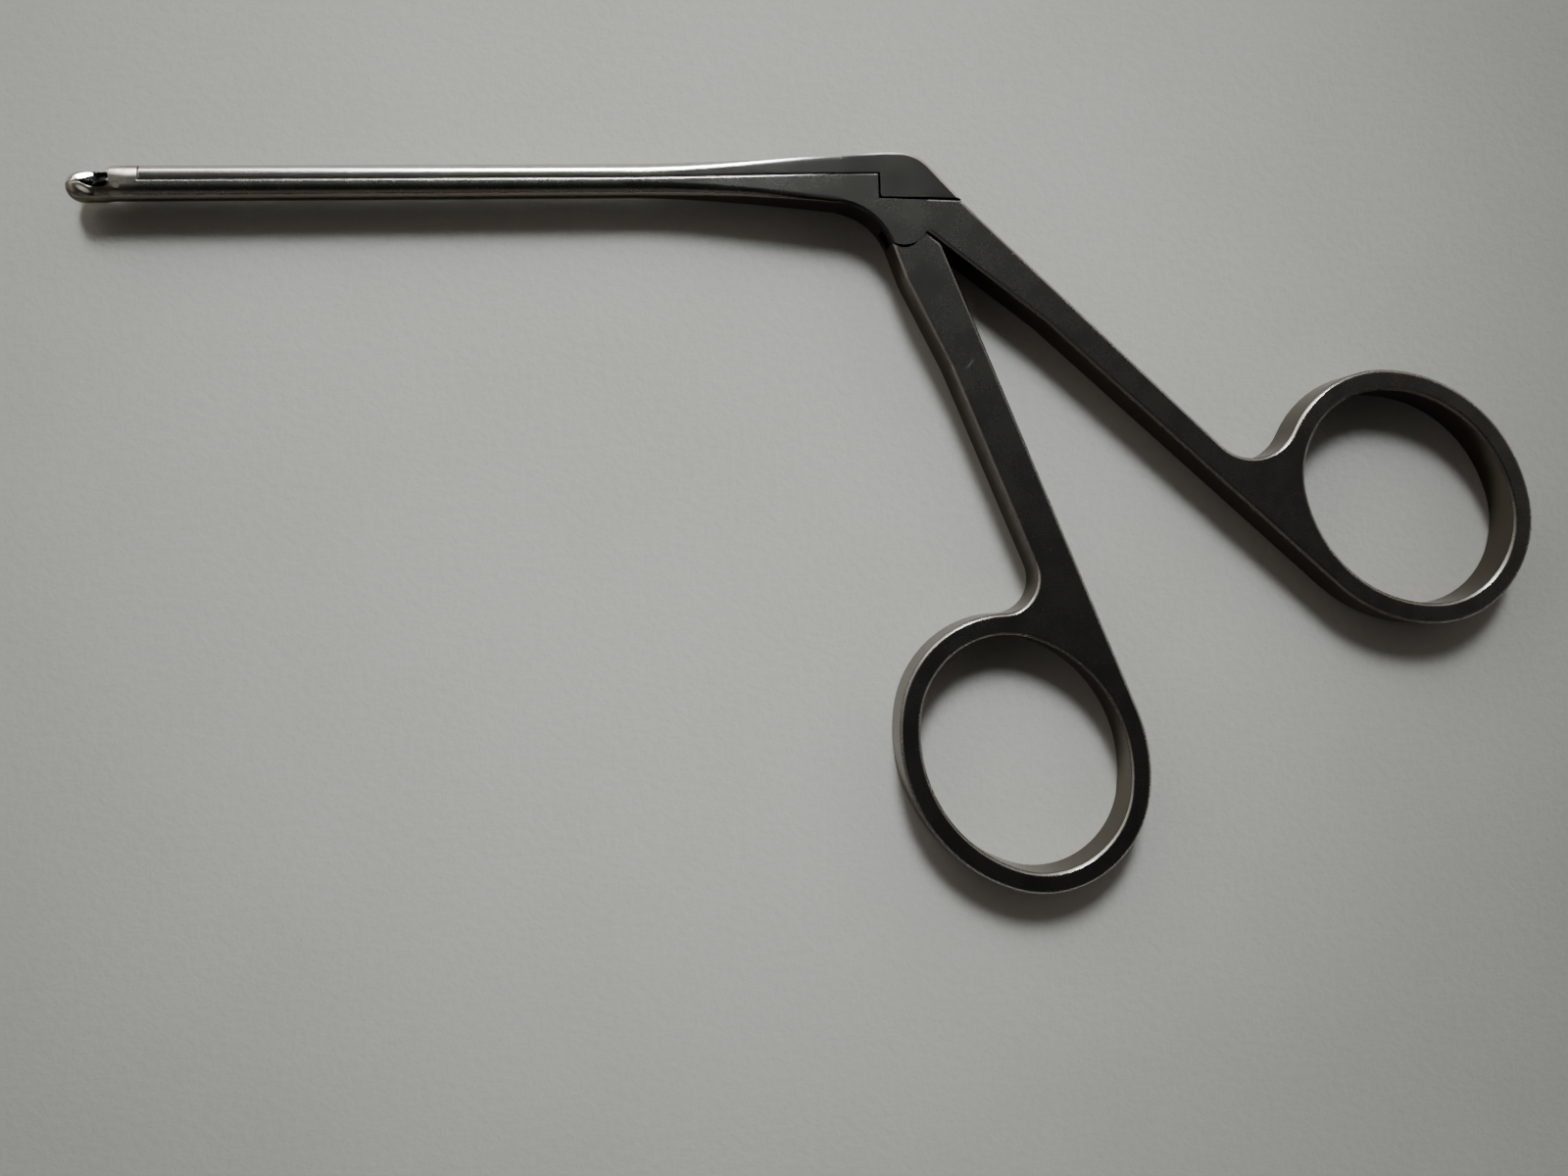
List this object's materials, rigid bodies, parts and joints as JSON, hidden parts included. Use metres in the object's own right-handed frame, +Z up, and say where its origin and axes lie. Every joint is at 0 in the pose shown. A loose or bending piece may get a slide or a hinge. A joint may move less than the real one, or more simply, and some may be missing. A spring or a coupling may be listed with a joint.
{
  "type": "ear forceps",
  "caption": "Cup-jaw ear forceps with a straight sliding shaft, ring handles at an angle and a small hinged upper cup.",
  "frame": {"origin": "middle of the underside of the closed forceps' bounding box, lying on its side", "axes": "+X runs back along the shaft from the jaws to the thumb ring, +Y across the shaft in the plane of the rings and away from the finger ring, +Z up through the thickness, along the pivots"},
  "size_m": [0.1437, 0.0738, 0.004],
  "materials": {
    "satin_steel": "satin stainless steel with softly brushed flat faces",
    "slider_steel": "satin stainless steel, a little brighter along the rounded top",
    "handle_steel": "satin stainless steel with softly brushed flat faces",
    "jaw_steel": "polished stainless steel",
    "pin_steel": "pins ground flush and blended into the satin faces"
  },
  "bodies": {
    "frame": {"fixed_shaft": "satin_steel", "handle_rivet": "pin_steel", "jaw_rivet": "pin_steel"},
    "slider": {"sliding_shaft": "slider_steel", "heel_pin": "pin_steel", "jaw_drive_pin": "pin_steel"},
    "handle": {"finger_handle": "handle_steel"},
    "jaw": {"upper_jaw": "jaw_steel"}
  },
  "joints": [
    {"name": "handle_swing", "type": "hinge", "parent": "frame", "child": "handle", "pos_m": [0.00575, 0.03049, 0.002], "axis": [0, 0, -1], "range_deg": [0, 14]},
    {"name": "slider_slide", "type": "slide", "parent": "frame", "child": "slider", "axis": [1, 0, 0], "range_m": [0, 0.00087353]},
    {"name": "jaw_swing", "type": "hinge", "parent": "frame", "child": "jaw", "pos_m": [-0.0671, 0.03434, 0.002], "axis": [0, 0, -1], "range_deg": [0, 40]}
  ],
  "couplings": [
    {"joint": "slider_slide", "follows": "handle_swing", "m_per_rad": 0.003574},
    {"joint": "jaw_swing", "follows": "handle_swing", "ratio": 2.857}
  ]
}
